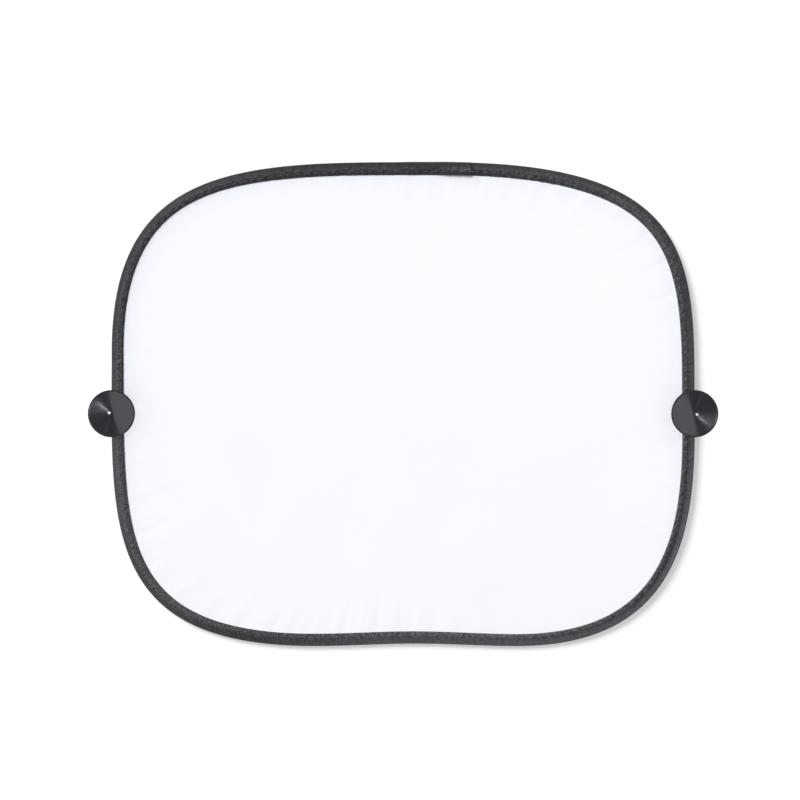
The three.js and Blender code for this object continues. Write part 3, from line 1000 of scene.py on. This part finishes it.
def cupProfile():
    # Radius and height above the wire, from the stem's end round to the apex of the hollow
    radius = cup["diameter"] / 2
    mouth = radius - cup["lipWidth"]
    stem, shoulder = cup["stemDiameter"] / 2, cup["shoulderDiameter"] / 2
    apex, soft, inner = cup["apexRoundDiameter"] / 2, cup["lipRound"], mouth - cup["mouthRound"]
    top, low = cup["mouthHeight"], -rest["wireHeight"]
    bottom = top - cup["depth"]
    slope = cup["depth"] / mouth

    def bowl(r):
        return bottom + slope * r

    few, straight = cup["roundSteps"], cup["straightSteps"]
    stemFoot = low + cup["stemChamfer"]
    stemEnd = quadratic((stem - cup["stemChamfer"], low), (stem, low), (stem, stemFoot), few)
    stemWay = np.linspace((stem, stemFoot), (stem, cup["stemRise"]), straight)[1:-1]
    flare = quadratic(
        (stem, cup["stemRise"]),
        (stem, cup["stemRise"] + cup["stemFlareHeight"]),
        (shoulder, bowl(shoulder) - cup["wallAtShoulder"]),
        cup["flareSteps"],
    )
    underLip = (mouth, bowl(mouth) - cup["wallAtLip"])
    wall = np.linspace(flare[-1], underLip, straight)[1:-1]
    lipFoot = (radius, top - cup["lipThickness"])
    lip = [
        *quadratic(underLip, ((mouth + radius) / 2, underLip[1]), (radius - soft, lipFoot[1]), few),
        *quadratic((radius - soft, lipFoot[1]), lipFoot, (radius, lipFoot[1] + soft), few)[1:],
        *quadratic((radius, top - soft), (radius, top), (radius - soft, top), few),
        *quadratic((2 * mouth - inner, top), (mouth, top), (inner, bowl(inner)), few),
    ]
    hollow = np.linspace((inner, bowl(inner)), (apex, bowl(apex)), 2 * straight)[1:-1]
    tip = quadratic((apex, bowl(apex)), (apex / 2, bowl(apex / 2)), (0, bowl(apex / 2)), cup["tipSteps"])
    return np.vstack([[(0, low)], stemEnd, stemWay, flare, wall, lip, hollow, tip])


def suctionCup(name, body, material):
    profile = cupProfile()
    steps, rows = cup["steps"], len(profile)
    turn = 2 * math.pi * np.arange(steps) / steps
    points = [(0, 0, profile[0][1])]
    for radius, height in profile[1:-1]:
        points += [(radius * math.cos(a), radius * math.sin(a), height) for a in turn]
    points.append((0, 0, profile[-1][1]))
    last = 1 + (rows - 3) * steps
    faces = []
    for k in range(steps):
        after = (k + 1) % steps
        faces.append((0, 1 + after, 1 + k))
        for here in range(1, last, steps):
            faces.append((here + k, here + after, here + steps + after, here + steps + k))
        faces.append((last + k, last + after, len(points) - 1))
    mesh = meshOf(name, np.array(points) * mm, faces=faces)
    mesh.materials.append(material)
    hinge = hinges[body]
    middle = Matrix.Translation(hinge["pos_m"])
    axis = Vector(hinge["axis"])
    axis *= math.copysign(1, axis.y)
    mesh.transform(middle @ facing(axis.cross(up), axis, up))
    work = bmesh.new()
    radius = cup["boreDiameter"] / 2 * mm
    ends = {"cap_ends": True, "segments": cup["boreSides"], "radius1": radius, "radius2": radius}
    bmesh.ops.create_cone(work, depth=2 * cup["stemDiameter"] * mm, **ends)
    work.transform(middle @ axis.to_track_quat("Z", "Y").to_matrix().to_4x4())
    piece = cutOut(linked(name, mesh), [cutter("bore", work)])
    piece.data.shade_smooth()
    piece.data.set_sharp_from_angle(angle=math.radians(cup["sharpFrom"]))
    return piece


pvc = softPvc()
leftCup = suctionCup("leftSuctionCup", "left_cup", pvc)
rightCup = suctionCup("rightSuctionCup", "right_cup", pvc)
print("cups: moulded")

# Where each piece rides, what it stands for and its finish
for piece, body, nodes, finish in [
    (clothPiece, "shade", ["shade_panel"], "shade_cloth"),
    (tapePiece, "shade", ["edge_binding"], "binding_tape"),
    (wirePiece, "shade", ["frame_wire"], "spring_wire"),
    (needlePiece, "shade", ["needle_thread"], "sewing_thread"),
    (bobbinPiece, "shade", ["bobbin_thread"], "sewing_thread"),
    (leftCup, "left_cup", ["left_suction_cup"], "cup_pvc"),
    (rightCup, "right_cup", ["right_suction_cup"], "cup_pvc"),
]:
    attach(piece, body)
    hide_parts(*nodes)
print("pieces: riding on their bodies")

# The studio: a pale floor, one broad soft lamp from the upper left and an even white sky.
# Panels and small lamps beside the cups light nothing else, and give their hollows their reflections.
studio = {
    "floorSide": 8,
    "floorWhite": "#f2f2f2",
    "floorBright": 1.1,
    "shadowFill": 0.42,
    "skyLight": 0.3,
    "keyAzimuth": 135,
    "keyElevation": 21,
    "keyBreadth": 38,
    "keyLight": 0.74,  # what the lamp adds to a white surface that lies flat
    "cupLamps": [  # part of the hollow, tilt, azimuth, distance, size across and up, radiance, colour
        ("streak", 42.4, -33, 130, (22, 13), 100, "#ebfff3"),
        ("tail", 35.4, -45, 130, (16, 10), 26, "#ebfff3"),
        ("faint", 40.4, 79.3, 500, (26, 60), 1.8, "#ffffff"),
        ("glint", 17, -22, 500, (85, 120), 80, "#ebfff3"),
    ],
    "panelHeight": 500,
    "panelNear": 0.266,  # times its height, to the side of the cup's middle
    "panelFar": 1.7,
    "panelAzimuth": 194.8,
    "panelLight": 2.25,
    "panelTone": "#f5fff6",
}


def throughCamera(tree):
    # 1 for what the camera sees, directly, mirrored or through something clear
    path = addNode(tree, "ShaderNodeLightPath")
    kinds = ("Is Camera Ray", "Is Glossy Ray", "Is Transmission Ray")
    direct, mirrored, through = (path.outputs[kind] for kind in kinds)
    return maths(tree, "ADD", maths(tree, "ADD", direct, mirrored), through, use_clamp=True)


def paperFloor():
    material = bpy.data.materials.new("white_paper")
    tree = emptied(material)
    seen = throughCamera(tree)
    plain = addNode(tree, "ShaderNodeBsdfDiffuse", {"Color": colour(studio["floorWhite"])})
    fill = studio["shadowFill"]
    matt = studio["floorBright"] - fill
    bright = addNode(tree, "ShaderNodeBsdfDiffuse", {"Color": (matt, matt, matt, 1)})
    glow = addNode(tree, "ShaderNodeEmission", {"Color": (1, 1, 1, 1), "Strength": fill})
    lit = addNode(tree, "ShaderNodeAddShader", {0: bright, 1: glow})
    shown = addNode(tree, "ShaderNodeMixShader", {0: seen, 1: plain, 2: lit})
    addNode(tree, "ShaderNodeOutputMaterial", {"Surface": shown})
    return material


def studioFloor():
    half = studio["floorSide"] / 2
    corners = [(-half, -half, 0), (half, -half, 0), (half, half, 0), (-half, half, 0)]
    mesh = meshOf("floor", corners, faces=[(0, 1, 2, 3)])
    mesh.materials.append(paperFloor())
    floor = linked("floor", mesh)


def studioSky():
    world = bpy.data.worlds.new("studio")
    tree = emptied(world)
    seen = throughCamera(tree)
    strength = ranged(tree, seen, studio["skyLight"], 1)
    sky = addNode(tree, "ShaderNodeBackground", {"Color": (1, 1, 1, 1), "Strength": strength})
    addNode(tree, "ShaderNodeOutputWorld", {"Surface": sky})
    bpy.context.scene.world = world


def skyward(tilt, azimuth):
    t, a = math.radians(tilt), math.radians(azimuth)
    return Vector((math.sin(t) * math.cos(a), math.sin(t) * math.sin(a), math.cos(t)))


def cupsLeftOut():
    # The soft lamp passes the cups by, so they keep clean reflections and throw no shadow
    group = bpy.data.collections.new("cupsLeftOut")
    for piece in (leftCup, rightCup):
        group.objects.link(piece)
    for item in group.collection_objects:
        item.light_linking.link_state = "EXCLUDE"
    return group


def softLamp():
    data = bpy.data.lights.new("softLamp", "SUN")
    data.angle = math.radians(studio["keyBreadth"])
    data.energy = studio["keyLight"] * math.pi / math.sin(math.radians(studio["keyElevation"]))
    lamp = linked("softLamp", data)
    way = skyward(90 - studio["keyElevation"], studio["keyAzimuth"])
    lamp.rotation_euler = way.to_track_quat("Z", "Y").to_euler()
    leftOut = cupsLeftOut()
    lamp.light_linking.receiver_collection = leftOut
    lamp.light_linking.blocker_collection = leftOut


def cupLamp(piece, part, place, way, size, radiance, tone):
    data = bpy.data.lights.new(piece.name + part, "AREA")
    data.shape = "RECTANGLE"
    data.size, data.size_y = size[0] * mm, size[1] * mm
    data.energy = radiance * math.pi * data.size * data.size_y
    data.color = colour(tone)[:3]
    lamp = linked(data.name, data)
    lamp.matrix_world = Matrix.Translation(place) @ way
    lamp.visible_camera = False
    lamp.visible_diffuse = False
    lamp.light_linking.receiver_collection = bpy.data.collections[piece.name + "Light"]


def lightCup(piece, hinge, turn):
    # The right cup is lit as the left one is, half a turn round
    group = bpy.data.collections.new(piece.name + "Light")
    group.objects.link(piece)
    middle = Vector(hinge["pos_m"]) + up * (cup["mouthHeight"] - cup["depth"]) * mm
    for part, tilt, azimuth, distance, size, radiance, tone in studio["cupLamps"]:
        way = skyward(tilt, azimuth + turn)
        across = up.cross(way).normalized()
        turned = facing(across, way.cross(across), way)
        cupLamp(piece, part, middle + way * distance * mm, turned, size, radiance, tone)
    height, near, far = studio["panelHeight"], studio["panelNear"], studio["panelFar"]
    sideways = skyward(90, studio["panelAzimuth"] + turn)
    place = middle + (up + sideways * (near + far) / 2) * height * mm
    turned = Matrix.Rotation(math.radians(studio["panelAzimuth"] + turn), 4, "Z")
    size = (height * (far - near), 2 * height * far)
    cupLamp(piece, "panel", place, turned, size, studio["panelLight"], studio["panelTone"])


studioFloor()
studioSky()
softLamp()
lightCup(leftCup, hinges["left_cup"], 0)
lightCup(rightCup, hinges["right_cup"], 180)
bpy.context.scene.view_settings.view_transform = "Standard"
print("studio: lit")
